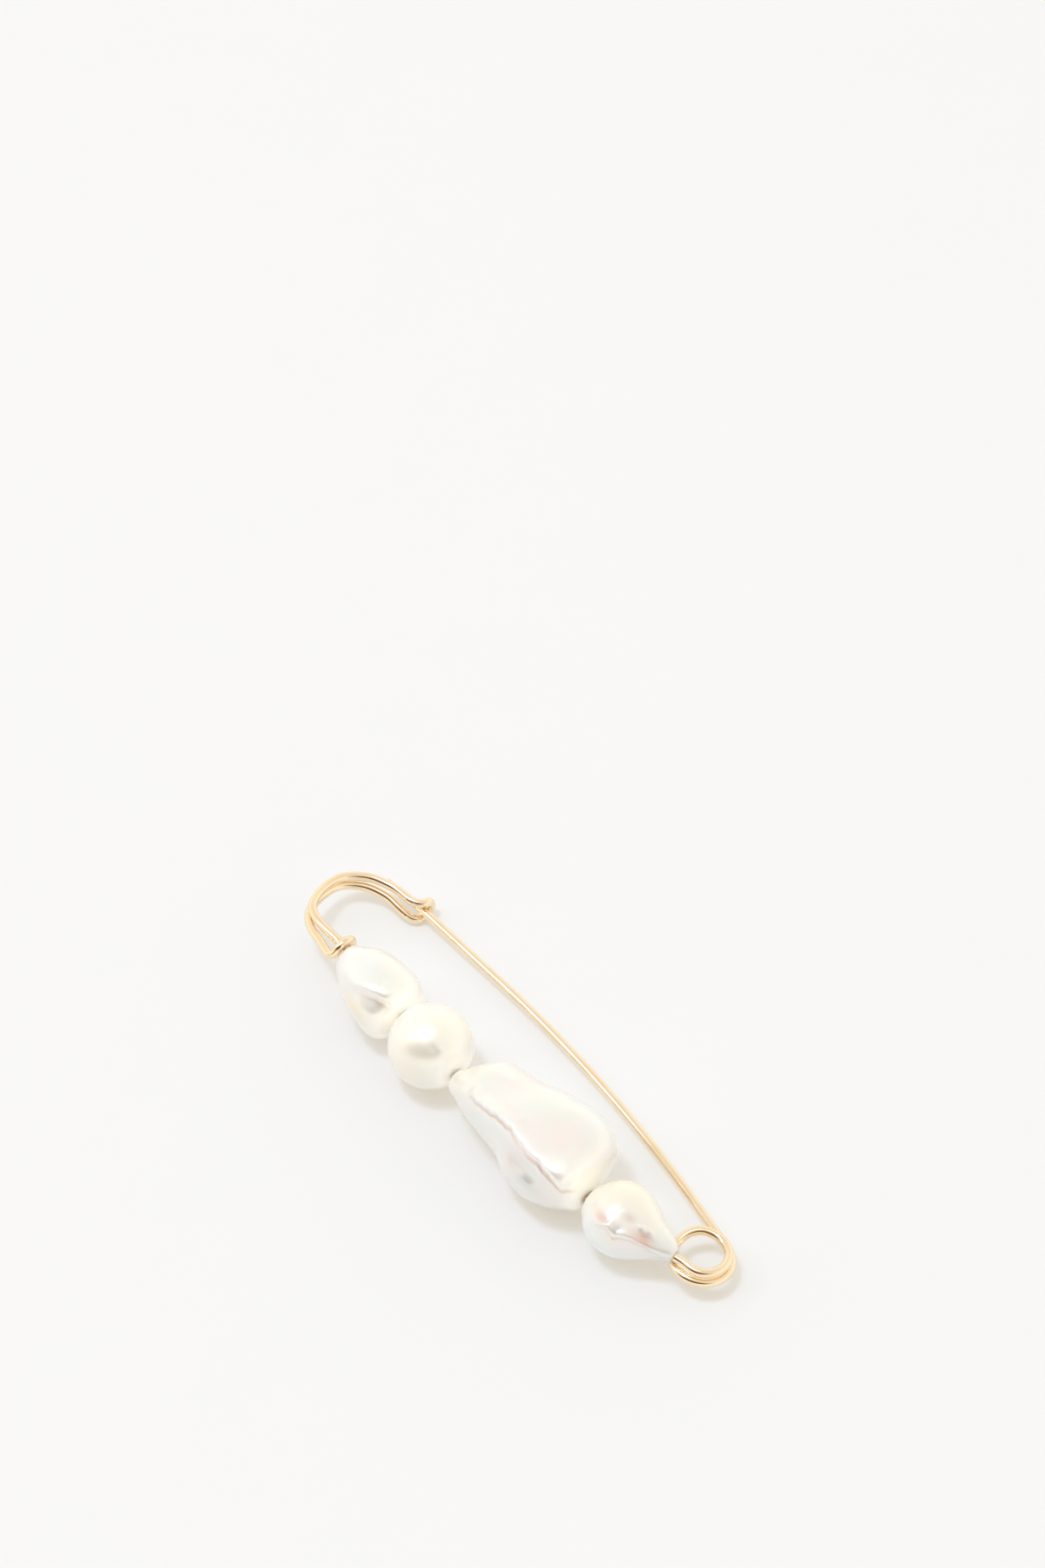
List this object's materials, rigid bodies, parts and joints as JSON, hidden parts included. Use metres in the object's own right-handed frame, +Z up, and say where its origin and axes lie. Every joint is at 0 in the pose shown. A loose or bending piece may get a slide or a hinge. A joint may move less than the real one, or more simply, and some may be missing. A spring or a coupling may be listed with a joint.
{
  "type": "safety pin brooch",
  "caption": "Gold wire safety pin brooch with cream pearls strung on its fixed bar, a spring coil at one end and a bent wire catch that holds the point at the other.",
  "frame": {"origin": "centre of the bounding box in X and Y, at the base, on the table the brooch lies on", "axes": "+X along the bar from the catch head to the spring coil, +Y from the bar towards the pin arm, +Z up from the table"},
  "size_m": [0.0645, 0.0191, 0.01],
  "materials": {
    "gold_wire": "polished gold-filled wire",
    "pearl_cream": "glossy cream nacre",
    "pearl_white": "glossy white nacre with pink and green tints"
  },
  "bodies": {
    "frame": {"frame_wire": "gold_wire", "spring_coil": "gold_wire", "pearl_oval": "pearl_cream", "pearl_round": "pearl_cream", "pearl_large": "pearl_white", "pearl_drop": "pearl_white"},
    "pin": {"pin_arm": "gold_wire"}
  },
  "joints": [
    {"name": "pin_swing", "type": "hinge", "parent": "frame", "child": "pin", "pos_m": [0.02847, -0.00045, 0.00297], "axis": [-0.0154, -0.1994, -0.9798], "range_deg": [0, 40], "deforming": ["spring_coil"]}
  ]
}
